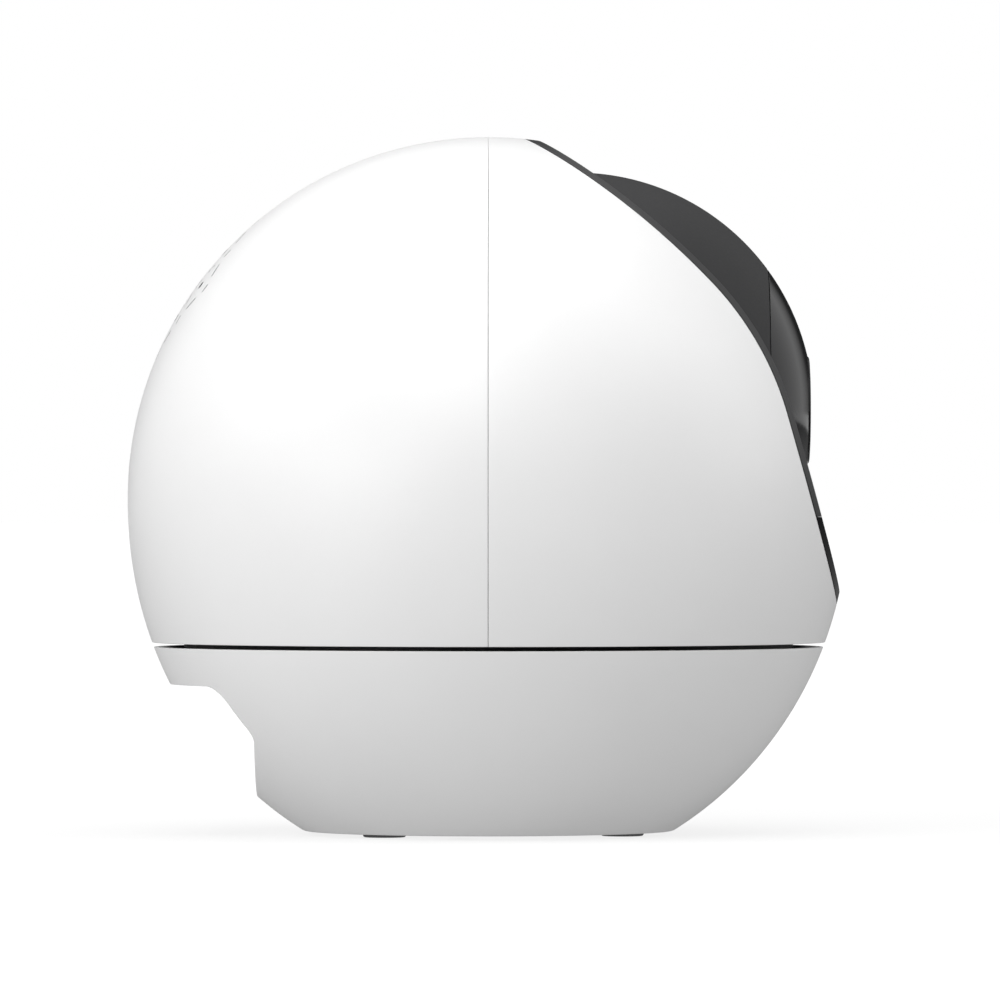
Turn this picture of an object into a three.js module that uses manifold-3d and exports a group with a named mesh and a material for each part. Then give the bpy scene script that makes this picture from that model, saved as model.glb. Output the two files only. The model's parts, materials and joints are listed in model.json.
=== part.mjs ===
// Indoor pan-tilt security camera: an egg-shaped base, a spherical head that pans on it,
// and an eyeball with the lens that tilts inside the head.
// Millimetres, +Z up. The lens looks along +X, and +Y is the camera's own left.
// The origin is on the pan axis, in the plane that the rubber feet rest on.

import * as THREE from 'three';
import { mergeVertices } from 'three/addons/utils/BufferGeometryUtils.js';
import Module from 'manifold-3d';

const wasm = await Module();
wasm.setup();

// ---------------------------------------------------------------- driving dimensions

const GAP = 0.3; // clearance between neighbouring pieces
const WALL = 2.2; // housing wall

// Body: a sphere whose lower half swells slightly, cut flat at the bottom.
const BODY_R = 50.5;
const BODY_Z = 47;
const SWELL = 0.0676; // share of the radius that the body gains towards its underside
const SWELL_POWER = 1.65;
const UNDERSIDE_Z = 0.45;
const BASE_TOP_Z = 26.2;
const HEAD_EDGE_Z = 26.8;
const SHELL_SPLIT = 0.15; // half the joint between front and rear shell

// Cable recess at the back of the base.
const RECESS_HALF_WIDTH = 24.3;
const RECESS_TOP_Z = 21;
const RECESS_BACK_X = -32.3;
const RECESS_CORNER = 2.5; // along the top edges
const RECESS_BACK_CORNER = 1.5; // up the back edges
const RECESS_WALL = 2;

// Base floor, cover plate and feet.
const FLOOR_BOTTOM_Z = 2.55;
const FLOOR_TOP_Z = 4.35;
const COVER_R = 24.6;
const COVER_TOP_Z = 2.25;
const FOOT_R = 3;
const FOOT_TOP_Z = 1.1;
const FEET = [ [ 18.6, 9.5 ], [ 18.6, - 9.5 ], [ - 14.4, 15 ], [ - 14.4, - 15 ] ];
const COVER_SCREW_RADIUS = 20.5;
const COVER_SCREW_ANGLES = [ 0, 100, 260 ];

// Screws: head radius and height, shank radius and the hole it goes through.
const SHANK_R = 0.9;
const HOLE_R = 1.2;
const SCREW_HEAD_R = 1.8;
const SCREW_HEAD_H = 0.8;

// Sockets and reset button in the recess, on the input board.
const BOARD_T = 1.6;
const IO_BOARD_Z = 12;
const JACK_HALF_WIDTH = 8;
const JACK_X = [ - 32, - 14 ];
const JACK_Z = [ 7.6, 20 ];
const POWER_Y = 14;
const POWER_HALF_WIDTH = 3.75;
const POWER_Z = [ 13.9, 16.5 ];
const RESET_Y = - 14;
const RESET_Z = 15.2;
const RESET_R = 1.35;
const RESET_TRAVEL = 0.5;
const STANDOFF = [ - 18, 14.5 ];

// Pan bearing and gears.
const POST_R = 5;
const POST_BORE_R = 3.2;
const SHOULDER_R = 8;
const GEAR_MODULE = 0.8;
const GEAR_TEETH = 48;
const PINION_TEETH = 12;
const GEAR_CENTRES = GEAR_MODULE * ( GEAR_TEETH + PINION_TEETH ) / 2;
const PAN_GEAR_Z = [ 20.6, 23.3 ];
const TURNTABLE_R = 42.6;
const TURNTABLE_Z = [ 23.6, 25.6 ];
const SKIRT_TOP_Z = 29.5;
const SKIRT_T = 2;
const PAN_MOTOR_R = 10;
const PAN_MOTOR_Z = [ 10, 18.6 ];
const MOTOR_EAR_REACH = 13;

// Face: a plate bent about the Y axis. It is straight at the bottom, then bends tightly and then
// slackly towards the top. The angles are its normal's elevation at the ends of the two bends.
const FACE_ANGLES = [ 16.05, 43.8, 62 ];
const FACE_BEND_R = 43.6;
const FACE_TOP_R = 124.2;
const FACE_BEND_CENTRE = [ - 0.81, BODY_Z - 0.42 ];
const FACE_PROUD = 0.8;
const FACE_DEEP = 1.5;
const WINDOW_TOP_Z = 44.4;
const INDICATOR_Z = 36;
const INDICATOR_X = [ 37.4, 44.8 ];

// Eyeball and tilt drive.
const BALL_R = 33.25;
const BALL_X = 12.25;
const BALL_Z = 59.3;
const BALL_OPENING_R = 33.9;
const BALL_WALL = 1.8;
const BALL_SEAM = 26.8; // plane between rear shell and front cap, ahead of the ball centre
const BALL_BACK = - 20;
const BALL_FLAT = 29.4; // flat sides
const CAP_INNER_R = 30.25;
const STRIP_HALF_WIDTH = 6.2;
const STRIP_T = 1.2;
const LENS_RING_R = 7.6;
const LENS_FACE = 32.72;
const TRUNNION_R = 2.6;
const TRUNNION_END = 36.6;
const BRACKET_Y = [ 33.6, 35.8 ];
const SECTOR_Y = [ 29.8, 32.3 ];
const SECTOR_ANGLES = [ 143, 277 ];
const PINION_ANGLE = 225; // where the tilt pinion sits, seen from the ball centre
const TILT_MOTOR_R = 9;
const TILT_MOTOR_Y = [ 36.4, 43.9 ];
const TILT_EAR_REACH = 11.5;

// Head fixings and electronics.
const LUG_ANGLES = [ 45, - 45, 135, - 135 ];
const LUG_RADIUS = 37;
const MAIN_BOARD_X = - 26.6;
const MAIN_BOARD_PILLAR_Y = 18;
const GRILLE_ELEVATION = 36.5;

// ---------------------------------------------------------------- solids

const radians = THREE.MathUtils.degToRad;

// Turns a three.js geometry into a solid with its faces pointing out.
function solidOf( geometry ) {

	const bare = geometry.clone();
	bare.deleteAttribute( 'normal' );
	bare.deleteAttribute( 'uv' );
	const merged = mergeVertices( bare, 1e-4 );
	const position = merged.attributes.position;
	const corner = [ new THREE.Vector3(), new THREE.Vector3(), new THREE.Vector3() ];
	const triangles = [];
	let volume = 0;

	for ( let i = 0; i < merged.index.count; i += 3 ) {

		const [ a, b, c ] = [ 0, 1, 2 ].map( ( k ) => merged.index.getX( i + k ) );
		if ( a === b || b === c || c === a ) continue;
		[ a, b, c ].forEach( ( v, k ) => corner[ k ].fromBufferAttribute( position, v ) );
		volume += corner[ 0 ].dot( corner[ 1 ].clone().cross( corner[ 2 ] ) );
		triangles.push( a, b, c );

	}

	if ( volume < 0 ) triangles.reverse();
	return new wasm.Manifold( new wasm.Mesh( {
		numProp: 3,
		vertProperties: new Float32Array( position.array ),
		triVerts: new Uint32Array( triangles )
	} ) );

}

function geometryOf( solid ) {

	const { vertProperties, triVerts } = solid.getMesh();
	const geometry = new THREE.BufferGeometry();
	geometry.setAttribute( 'position', new THREE.BufferAttribute( vertProperties, 3 ) );
	geometry.setIndex( new THREE.BufferAttribute( triVerts, 1 ) );
	geometry.computeVertexNormals();
	return geometry;

}

const join = ( first, ...others ) => others.reduce( ( sum, solid ) => sum.add( solid ), first );
const cut = ( first, ...others ) => others.reduce( ( rest, solid ) => rest.subtract( solid ), first );
const common = ( first, ...others ) => others.reduce( ( rest, solid ) => rest.intersect( solid ), first );

function box( [ x0, x1 ], [ y0, y1 ], [ z0, z1 ] ) {

	const geometry = new THREE.BoxGeometry( x1 - x0, y1 - y0, z1 - z0 );
	return solidOf( geometry.translate( ( x0 + x1 ) / 2, ( y0 + y1 ) / 2, ( z0 + z1 ) / 2 ) );

}

// The direction of an axis letter, with the two directions of the plane across it.
const FRAMES = {
	x: [ new THREE.Vector3( 0, 1, 0 ), new THREE.Vector3( 0, 0, 1 ), new THREE.Vector3( 1, 0, 0 ) ],
	y: [ new THREE.Vector3( 0, 0, 1 ), new THREE.Vector3( 1, 0, 0 ), new THREE.Vector3( 0, 1, 0 ) ],
	z: [ new THREE.Vector3( 1, 0, 0 ), new THREE.Vector3( 0, 1, 0 ), new THREE.Vector3( 0, 0, 1 ) ]
};
const frameOf = ( axis ) => new THREE.Matrix4().makeBasis( ...FRAMES[ axis ] );

// A solid of revolution. The profile holds [ radius, height ] pairs and is closed, on the
// axis or on itself, and the axis passes through centre.
function revolve( profile, { axis = 'z', centre = [ 0, 0, 0 ], segments = 20 } = {} ) {

	const points = profile.map( ( [ r, h ] ) => new THREE.Vector2( r, h ) );
	const onAxis = profile[ 0 ][ 0 ] === 0 && profile.at( - 1 )[ 0 ] === 0;
	if ( ! onAxis ) points.push( points[ 0 ].clone() );
	const geometry = new THREE.LatheGeometry( points, segments ).rotateX( Math.PI / 2 );
	return solidOf( geometry.applyMatrix4( frameOf( axis ) ).translate( ...centre ) );

}

// A round bar along an axis, or a tube where a bore is given. The run is measured along the axis.
function rod( axis, centre, radius, [ from, to ], bore = 0, segments = 14 ) {

	const profile = [ [ bore, from ], [ radius, from ], [ radius, to ], [ bore, to ] ];
	return revolve( profile, { axis, centre, segments } );

}

// An outline in the plane across an axis, extruded along that axis.
// Across X the outline is in Y, Z; across Y it is in X, Z; across Z it is in X, Y.
function plate( axis, outline, [ from, to ] ) {

	const shape = outline instanceof THREE.Shape ? outline
		: new THREE.Shape( outline.map( ( [ u, v ] ) => new THREE.Vector2( u, v ) ) );
	const geometry = new THREE.ExtrudeGeometry( shape, {
		depth: to - from, bevelEnabled: false, curveSegments: 8
	} );
	if ( axis === 'y' ) return solidOf( geometry.rotateX( Math.PI / 2 ).translate( 0, to, 0 ) );
	geometry.translate( 0, 0, from );
	return solidOf( geometry.applyMatrix4( frameOf( axis ) ) );

}

const ball = ( radius, segments = 28 ) => revolve( arc( radius, - 90, 90, segments / 2 ), {
	axis: 'x', centre: [ BALL_X, 0, BALL_Z ], segments
} );

// Points of an arc about a centre, as [ across, up ] pairs.
function arc( radius, from, to, steps, [ u, v ] = [ 0, 0 ] ) {

	return Array.from( { length: steps + 1 }, ( _, i ) => {

		const angle = radians( from + ( to - from ) * i / steps );
		const across = Math.abs( Math.cos( angle ) ) < 1e-9 ? 0 : Math.cos( angle );
		return [ u + radius * across, v + radius * Math.sin( angle ) ];

	} );

}

// A screw with its head at the start of the shank, pointing along + or - axis.
function screw( axis, centre, start, reach ) {

	const back = - Math.sign( reach ) * SCREW_HEAD_H;
	const ends = ( a, b ) => [ Math.min( a, b ), Math.max( a, b ) ];
	return join(
		rod( axis, centre, SCREW_HEAD_R, ends( start + back, start ), 0, 12 ),
		rod( axis, centre, SHANK_R, ends( start + back / 2, start + reach ), 0, 8 )
	);

}

// A spur gear outline with straight-flanked teeth, one of them centred on angle `phase`.
function gear( axis, centre, teeth, [ from, to ], { bore = 0, phase = 0 } = {} ) {

	const pitchR = GEAR_MODULE * teeth / 2;
	const outer = pitchR + 0.75 * GEAR_MODULE;
	const root = pitchR - 1.1 * GEAR_MODULE;
	const half = GEAR_MODULE * ( Math.PI / 4 - 0.16 ); // half a tooth's width at the pitch circle
	const slope = Math.tan( radians( 20 ) );
	const tipAngle = ( half - ( outer - pitchR ) * slope ) / outer;
	const rootAngle = ( half + ( pitchR - root ) * slope ) / root;
	const outline = [];

	for ( let i = 0; i < teeth; i ++ ) {

		const middle = radians( phase ) + i * 2 * Math.PI / teeth;
		const flank = [ [ root, - rootAngle ], [ outer, - tipAngle ], [ outer, tipAngle ], [ root, rootAngle ] ];
		for ( const [ r, a ] of flank ) outline.push( [ r * Math.cos( middle + a ), r * Math.sin( middle + a ) ] );

	}

	const [ x, y, z ] = centre;
	const [ u, v ] = axis === 'y' ? [ x, z ] : [ x, y ];
	const blank = plate( axis, outline.map( ( [ a, b ] ) => [ u + a, v + b ] ), [ from, to ] );
	return bore ? cut( blank, rod( axis, centre, bore, [ from - 1, to + 1 ] ) ) : blank;

}

// ---------------------------------------------------------------- body surface

const swell = ( elevation ) => {

	const below = Math.max( 0, - Math.sin( radians( elevation ) ) );
	return 1 + SWELL * Math.pow( below, SWELL_POWER );

};

// A point of the body's profile, `inset` inside its outer surface.
function bodyPoint( elevation, inset ) {

	const r = BODY_R * swell( elevation ) - inset;
	const angle = radians( elevation );
	return [ elevation === 90 ? 0 : r * Math.cos( angle ), BODY_Z + r * Math.sin( angle ) ];

}

// The elevation at which the profile is at height z, by halving.
function elevationAt( z, inset ) {

	let [ low, high ] = [ - 89, 89 ];
	for ( let i = 0; i < 50; i ++ ) {

		const middle = ( low + high ) / 2;
		if ( bodyPoint( middle, inset )[ 1 ] < z ) low = middle; else high = middle;

	}

	return low;

}

// The body between two heights as a filled solid of revolution; without a top it goes up to the pole.
function bodySolid( inset, bottom, top, steps ) {

	const start = top === undefined ? 90 : elevationAt( top, inset );
	const end = elevationAt( bottom, inset );
	const side = Array.from( { length: steps + 1 }, ( _, i ) =>
		bodyPoint( start + ( end - start ) * i / steps, inset ) );
	if ( top !== undefined ) side.unshift( [ 0, top ] );
	side.push( [ 0, bottom ] );
	return revolve( side, { segments: 40 } );

}

// The face's curve in X, Z, moved out by `offset`, from above the head to below its edge.
function faceCurve( offset ) {

	const [ low, bend, high ] = FACE_ANGLES;
	const from = ( [ x, z ], radius, angle ) =>
		[ x + radius * Math.cos( radians( angle ) ), z + radius * Math.sin( radians( angle ) ) ];
	const topCentre = from( FACE_BEND_CENTRE, FACE_BEND_R - FACE_TOP_R, bend );
	const points = arc( FACE_TOP_R + offset, high, bend, 5, topCentre );
	points.push( ...arc( FACE_BEND_R + offset, bend, low, 6, FACE_BEND_CENTRE ).slice( 1 ) );
	points.push( from( points.at( - 1 ), 45, low - 90 ) );
	return points;

}

const WIDE = [ - 60, 60 ];
const faceSlab = ( inner, outer ) =>
	plate( 'y', [ ...faceCurve( outer ), ...faceCurve( inner ).reverse() ], WIDE );
const aheadOfFace = ( offset ) =>
	plate( 'y', [ ...faceCurve( offset ), [ 150, - 20 ], [ 150, 150 ], [ - 20, 150 ] ], WIDE );

// ---------------------------------------------------------------- scene helpers

const FINISHES = {
	white_plastic: [ 0xf3f3f1, 0.5, 0 ],
	grey_plastic: [ 0x3d3e40, 0.6, 0 ],
	cap_plastic: [ 0x55565a, 0.4, 0 ],
	black_gloss: [ 0x08080a, 0.08, 0 ],
	dark_plastic: [ 0x1c1d1f, 0.6, 0 ],
	natural_plastic: [ 0xe4e0d4, 0.5, 0 ],
	rubber: [ 0x2e2f31, 0.9, 0 ],
	steel: [ 0xb9bcc0, 0.3, 1 ],
	circuit_board: [ 0x14532b, 0.5, 0 ],
	glass: [ 0x101820, 0.02, 0 ],
	clear_plastic: [ 0xd9dde0, 0.1, 0 ],
	paper: [ 0x26262a, 0.9, 0 ]
};

const camera = new THREE.Group();

function add( name, finish, solid ) {

	const [ color, roughness, metalness ] = FINISHES[ finish ];
	const material = new THREE.MeshStandardMaterial( { color, roughness, metalness } );
	const mesh = new THREE.Mesh( geometryOf( solid ), material );
	mesh.name = name;
	camera.add( mesh );

}

function addScrews( name, axis, spots, start, reach ) {

	spots.forEach( ( spot, i ) => add( `${ name }_${ i + 1 }`, 'steel', screw( axis, spot, start, reach ) ) );

}

const onCircle = ( radius, angle ) =>
	[ radius * Math.cos( radians( angle ) ), radius * Math.sin( radians( angle ) ) ];
const coverScrews = COVER_SCREW_ANGLES.map( ( angle ) => onCircle( COVER_SCREW_RADIUS, angle ) );
const lugs = LUG_ANGLES.map( ( angle ) => onCircle( LUG_RADIUS, angle ) );
const standoffs = [ 1, - 1 ].map( ( side ) => [ STANDOFF[ 0 ], side * STANDOFF[ 1 ] ] );
const motorEars = [ 1, - 1 ].map( ( side ) => [ GEAR_CENTRES, side * MOTOR_EAR_REACH ] );
const at = ( [ x, y ] ) => [ x, y, 0 ];

// ---------------------------------------------------------------- base

// The space of the cable recess, or with `grow` the outside of the wall round it.
function recess( grow ) {

	const [ w, top, r ] = [ RECESS_HALF_WIDTH + grow, RECESS_TOP_Z + grow, RECESS_CORNER + grow ];
	const [ back, c ] = [ RECESS_BACK_X + grow, RECESS_BACK_CORNER + grow ];
	const section = [
		[ - w, - 10 ], [ w, - 10 ],
		...arc( r, 0, 90, 4, [ w - r, top - r ] ),
		...arc( r, 90, 180, 4, [ r - w, top - r ] )
	];
	const plan = [
		[ - 70, - w ],
		...arc( c, - 90, 0, 4, [ back - c, c - w ] ),
		...arc( c, 0, 90, 4, [ back - c, w - c ] ),
		[ - 70, w ]
	];
	return common( plate( 'x', section, [ - 70, back ] ), plate( 'z', plan, [ - 20, 40 ] ) );

}

function addBase() {

	// Bowl: wall, floor, recess with its own wall, and the posts that carry what is inside.
	const cavity = cut( bodySolid( WALL, FLOOR_TOP_Z, BASE_TOP_Z + 1, 5 ), recess( RECESS_WALL ) );
	let bowl = cut( bodySolid( 0, UNDERSIDE_Z, BASE_TOP_Z, 6 ), cavity, recess( 0 ) );
	bowl = cut( bowl, rod( 'z', [ 0, 0, 0 ], COVER_R + GAP, [ - 1, FLOOR_BOTTOM_Z ], 0, 36 ) );
	for ( const spot of coverScrews ) {

		bowl = join( bowl, rod( 'z', at( spot ), 2.6, [ FLOOR_BOTTOM_Z + 0.5, 8.5 ], 0, 16 ) );
		bowl = cut( bowl, rod( 'z', at( spot ), HOLE_R, [ 0, 7.8 ], 0, 8 ) );

	}

	for ( const [ spots, top ] of [ [ standoffs, IO_BOARD_Z - GAP ], [ motorEars, 16.7 ] ] ) {

		for ( const spot of spots ) {

			bowl = join( bowl, rod( 'z', at( spot ), 2.2, [ FLOOR_BOTTOM_Z + 0.5, top ], 0, 16 ) );
			bowl = cut( bowl, rod( 'z', at( spot ), HOLE_R, [ top - 5, top + 1 ], 0, 8 ) );

		}

	}

	const wall = [ RECESS_BACK_X - 1, RECESS_BACK_X + RECESS_WALL + 0.2 ];
	const around = ( [ low, high ] ) => [ low - GAP, high + GAP ];
	bowl = cut(
		bowl,
		box( wall, around( [ - JACK_HALF_WIDTH, JACK_HALF_WIDTH ] ), around( JACK_Z ) ),
		box( wall, around( [ POWER_Y - POWER_HALF_WIDTH, POWER_Y + POWER_HALF_WIDTH ] ), around( POWER_Z ) ),
		rod( 'x', [ 0, RESET_Y, RESET_Z ], RESET_R + GAP, wall, 0, 12 )
	);
	add( 'base_bowl', 'white_plastic', bowl );

	// Cover plate with recesses for the feet and screw heads.
	let cover = rod( 'z', [ 0, 0, 0 ], COVER_R, [ UNDERSIDE_Z, COVER_TOP_Z ], 0, 36 );
	for ( const spot of FEET ) {

		cover = cut( cover, rod( 'z', at( spot ), FOOT_R + GAP, [ 0, FOOT_TOP_Z + GAP ] ) );

	}

	for ( const spot of coverScrews ) {

		cover = cut( cover, rod( 'z', at( spot ), SCREW_HEAD_R + GAP, [ 0, 1.65 ], 0, 12 ) );
		cover = cut( cover, rod( 'z', at( spot ), HOLE_R, [ 1, 3 ], 0, 8 ) );

	}

	add( 'base_cover', 'white_plastic', cover );
	FEET.forEach( ( spot, i ) => {

		const foot = [ [ 0, 0 ], [ FOOT_R - 0.3, 0 ], [ FOOT_R, 0.3 ], [ FOOT_R, FOOT_TOP_Z ], [ 0, FOOT_TOP_Z ] ];
		add( `rubber_foot_${ i + 1 }`, 'rubber', revolve( foot, { centre: at( spot ), segments: 20 } ) );

	} );
	addScrews( 'cover_screw', 'z', coverScrews.map( at ), 1.35, 6 );

	// Pan bearing: a hollow post with a shoulder, a washer and a groove for the clip.
	add( 'pan_post', 'natural_plastic', revolve( [
		[ POST_BORE_R, FLOOR_TOP_Z + GAP ], [ 9, FLOOR_TOP_Z + GAP ], [ 9, 6.2 ], [ SHOULDER_R, 6.2 ],
		[ SHOULDER_R, 19.2 ], [ POST_R, 19.2 ], [ POST_R, 24.3 ], [ POST_R - 0.7, 24.3 ],
		[ POST_R - 0.7, 25.3 ], [ POST_R, 25.3 ], [ POST_R, 25.9 ], [ POST_BORE_R, 25.9 ]
	] ) );
	add( 'thrust_washer', 'steel', rod( 'z', [ 0, 0, 0 ], SHOULDER_R, [ 19.5, 20.3 ], POST_R + GAP, 24 ) );

	// Pan motor with two screw ears.
	const motorAt = [ GEAR_CENTRES, 0, 0 ];
	let motor = join(
		rod( 'z', motorAt, PAN_MOTOR_R, PAN_MOTOR_Z, 0, 24 ),
		box( [ GEAR_CENTRES - 3.2, GEAR_CENTRES + 3.2 ], [ - 15.6, 15.6 ], [ 17, 17.9 ] ),
		rod( 'z', motorAt, 3, [ 18, 19.6 ] )
	);
	for ( const spot of motorEars ) motor = cut( motor, rod( 'z', at( spot ), HOLE_R, [ 16, 19 ], 0, 8 ) );
	add( 'pan_motor', 'steel', motor );
	addScrews( 'pan_motor_screw', 'z', motorEars.map( at ), 18.2, - 5.5 );

	// Input board, cut out for the network jack, with the sockets and the reset switch.
	const boardTop = IO_BOARD_Z + BOARD_T;
	let board = cut(
		box( [ - 28.7, - 10.5 ], [ - 20, 20 ], [ IO_BOARD_Z, boardTop ] ),
		box( [ - 40, JACK_X[ 1 ] + GAP ], [ - JACK_HALF_WIDTH - GAP, JACK_HALF_WIDTH + GAP ], [ 10, 16 ] )
	);
	for ( const spot of standoffs ) board = cut( board, rod( 'z', at( spot ), HOLE_R, [ 10, 16 ], 0, 8 ) );
	add( 'input_board', 'circuit_board', board );
	addScrews( 'input_board_screw', 'z', standoffs.map( at ), boardTop + GAP, - 5.5 );
	add( 'network_jack', 'dark_plastic', cut(
		box( JACK_X, [ - JACK_HALF_WIDTH, JACK_HALF_WIDTH ], JACK_Z ),
		box( [ - 34, - 20 ], [ - 5.9, 5.9 ], [ 9.2, 16 ] ),
		box( [ - 34, - 20 ], [ - 3.2, 3.2 ], [ 15.8, 18.6 ] )
	) );
	add( 'power_socket', 'steel', cut(
		box( [ JACK_X[ 0 ], - 26.5 ], [ POWER_Y - POWER_HALF_WIDTH, POWER_Y + POWER_HALF_WIDTH ], POWER_Z ),
		box( [ - 34, - 27.2 ], [ POWER_Y - 3.4, POWER_Y + 3.4 ], [ POWER_Z[ 0 ] + 0.35, POWER_Z[ 1 ] - 0.35 ] )
	) );
	add( 'reset_switch', 'dark_plastic',
		box( [ - 28.6 + RESET_TRAVEL + GAP, - 24.3 ], [ RESET_Y - 3, RESET_Y + 3 ], [ boardTop + GAP, 17.4 ] ) );
	add( 'reset_button', 'dark_plastic', join(
		rod( 'x', [ 0, RESET_Y, RESET_Z ], RESET_R, [ RECESS_BACK_X + 0.1, - 28.6 ], 0, 16 ),
		rod( 'x', [ 0, RESET_Y, RESET_Z ], 2.1, [ - 30, - 29.2 ], 0, 16 )
	) );

}

// ---------------------------------------------------------------- pan drive and turntable

function addPanDrive() {

	const pinionAt = [ GEAR_CENTRES, 0, 0 ];
	const phase = 180 / PINION_TEETH; // a gap of the pinion faces a tooth of the gear
	add( 'pan_pinion', 'natural_plastic', join(
		gear( 'z', pinionAt, PINION_TEETH, PAN_GEAR_Z, { phase } ),
		rod( 'z', pinionAt, 2.2, [ 19.9, PAN_GEAR_Z[ 0 ] + 0.5 ] )
	) );
	const bore = POST_R + GAP;
	add( 'pan_gear', 'natural_plastic', gear( 'z', [ 0, 0, 0 ], GEAR_TEETH, PAN_GEAR_Z, { bore } ) );

	// Turntable: a dish with a skirt behind the seam, and two pillars for the main board.
	const [ low, high ] = TURNTABLE_Z;
	let table = revolve( [
		[ POST_R + GAP, low ], [ TURNTABLE_R, low ], [ TURNTABLE_R, SKIRT_TOP_Z ],
		[ TURNTABLE_R - SKIRT_T, SKIRT_TOP_Z ], [ TURNTABLE_R - SKIRT_T, high ], [ 8, high ],
		[ 8, low + 0.6 ], [ POST_R + GAP, low + 0.6 ]
	], { segments: 40 } );
	for ( const side of [ 1, - 1 ] ) {

		const y = side * MAIN_BOARD_PILLAR_Y;
		const pillarX = [ MAIN_BOARD_X - 4.4, MAIN_BOARD_X - GAP ];
		table = join( table, box( pillarX, [ y - 2.5, y + 2.5 ], [ high - 0.5, 50 ] ) );
		table = cut( table, rod( 'x', [ 0, y, 46 ], HOLE_R, [ MAIN_BOARD_X - 3.7, - 20 ], 0, 8 ) );

	}

	for ( const spot of lugs ) {

		table = cut( table, rod( 'z', at( spot ), HOLE_R, [ low - 1, high + 1 ], 0, 8 ) );
		table = cut( table, rod( 'z', at( spot ), SCREW_HEAD_R + GAP, [ low - 1, low + 1.3 ], 0, 12 ) );

	}

	add( 'turntable', 'dark_plastic', table );

	// Snap ring in the post's groove, open on one side.
	const ring = rod( 'z', [ 0, 0, 0 ], 7.6, [ 24.5, 25.1 ], POST_R - 0.4, 24 );
	add( 'retaining_clip', 'steel', cut( ring, box( [ - 12, 0 ], [ - 2.8, 2.8 ], [ 24, 26 ] ) ) );

}

// ---------------------------------------------------------------- head

// Places a solid built along +Z about the origin so that it points out through the rear grille.
function towardsGrille( solid ) {

	return solid.rotate( [ 0, GRILLE_ELEVATION - 90, 0 ] ).translate( [ 0, 0, BODY_Z ] );

}

function addShells() {

	const outer = bodySolid( 0, HEAD_EDGE_Z, undefined, 10 );
	const inner = bodySolid( WALL, HEAD_EDGE_Z - 1, undefined, 10 );
	const filled = bodySolid( 1, HEAD_EDGE_Z - 1, undefined, 10 );
	const shell = cut( outer, inner );
	const frontSide = box( [ SHELL_SPLIT, 80 ], WIDE, [ 0, 120 ] );
	const rearSide = box( [ - 80, - SHELL_SPLIT ], WIDE, [ 0, 120 ] );
	const ahead = aheadOfFace( - GAP );
	let front = cut( common( shell, frontSide ), ahead, ball( BALL_OPENING_R ) );
	let rear = common( shell, rearSide );

	// Screw lugs that reach over the turntable's skirt.
	LUG_ANGLES.forEach( ( angle, i ) => {

		const arm = box( [ LUG_RADIUS - 1, 48 ], [ - 3.2, 3.2 ], [ 29.8, 33.5 ] ).rotate( [ 0, 0, angle ] );
		const boss = rod( 'z', at( lugs[ i ] ), 3.2, [ TURNTABLE_Z[ 1 ] + GAP, 33.5 ], 0, 16 );
		const hole = rod( 'z', at( lugs[ i ] ), HOLE_R, [ 20, 31 ], 0, 8 );
		const lug = cut( common( join( arm, boss ), filled ), hole );
		if ( Math.abs( angle ) < 90 ) front = join( front, lug ); else rear = join( rear, lug );

	} );

	// Grille holes on a centred lattice, and the collar that holds the speaker.
	const collar = towardsGrille( rod( 'z', [ 0, 0, 0 ], 11.6, [ 43.5, 50 ], 10.3, 24 ) );
	rear = join( rear, common( collar, filled ) );
	const [ across, along ] = [ 8.2, 11.46 ];
	for ( let row = - 2; row <= 2; row ++ ) {

		for ( let column = - 2; column <= 2; column ++ ) {

			const spot = [ row * along / 2, column * across / 2, 0 ];
			const inLattice = ( row + column ) % 2 === 0 && Math.hypot( ...spot ) < 12;
			const hole = inLattice && rod( 'z', spot, 0.6, [ 44, 56 ], 0, 6 );
			if ( hole ) rear = cut( rear, towardsGrille( hole ) );

		}

	}

	add( 'front_shell', 'white_plastic', front );
	add( 'rear_shell', 'white_plastic', rear );
	addScrews( 'head_screw', 'z', lugs.map( at ), TURNTABLE_Z[ 0 ] + 1, 6 );

	// Face: a proud rim plate round the eyeball, and a thicker window below it.
	const face = cut( common( outer, faceSlab( 0, FACE_PROUD ) ), ball( BALL_OPENING_R ) );
	const plug = common( bodySolid( WALL + GAP, HEAD_EDGE_Z - 1, undefined, 10 ), faceSlab( - FACE_DEEP, 0.1 ) );
	const below = box( [ - 80, 80 ], WIDE, [ 0, WINDOW_TOP_Z - GAP / 2 ] );
	const upper = common( face, box( [ - 80, 80 ], WIDE, [ WINDOW_TOP_Z + GAP / 2, 120 ] ) );
	const lower = common( join( face, plug ), below );
	add( 'face_bezel', 'grey_plastic', upper );
	add( 'face_window', 'black_gloss', lower );
	const [ pipeBack, pipeFront ] = INDICATOR_X;
	add( 'indicator_light_pipe', 'clear_plastic', join(
		rod( 'x', [ 0, 0, INDICATOR_Z ], 1.2, [ pipeBack, pipeFront ], 0, 12 ),
		rod( 'x', [ 0, 0, INDICATOR_Z ], 2.6, [ pipeFront - 1.1, pipeFront ], 0, 16 )
	) );

}

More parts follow.
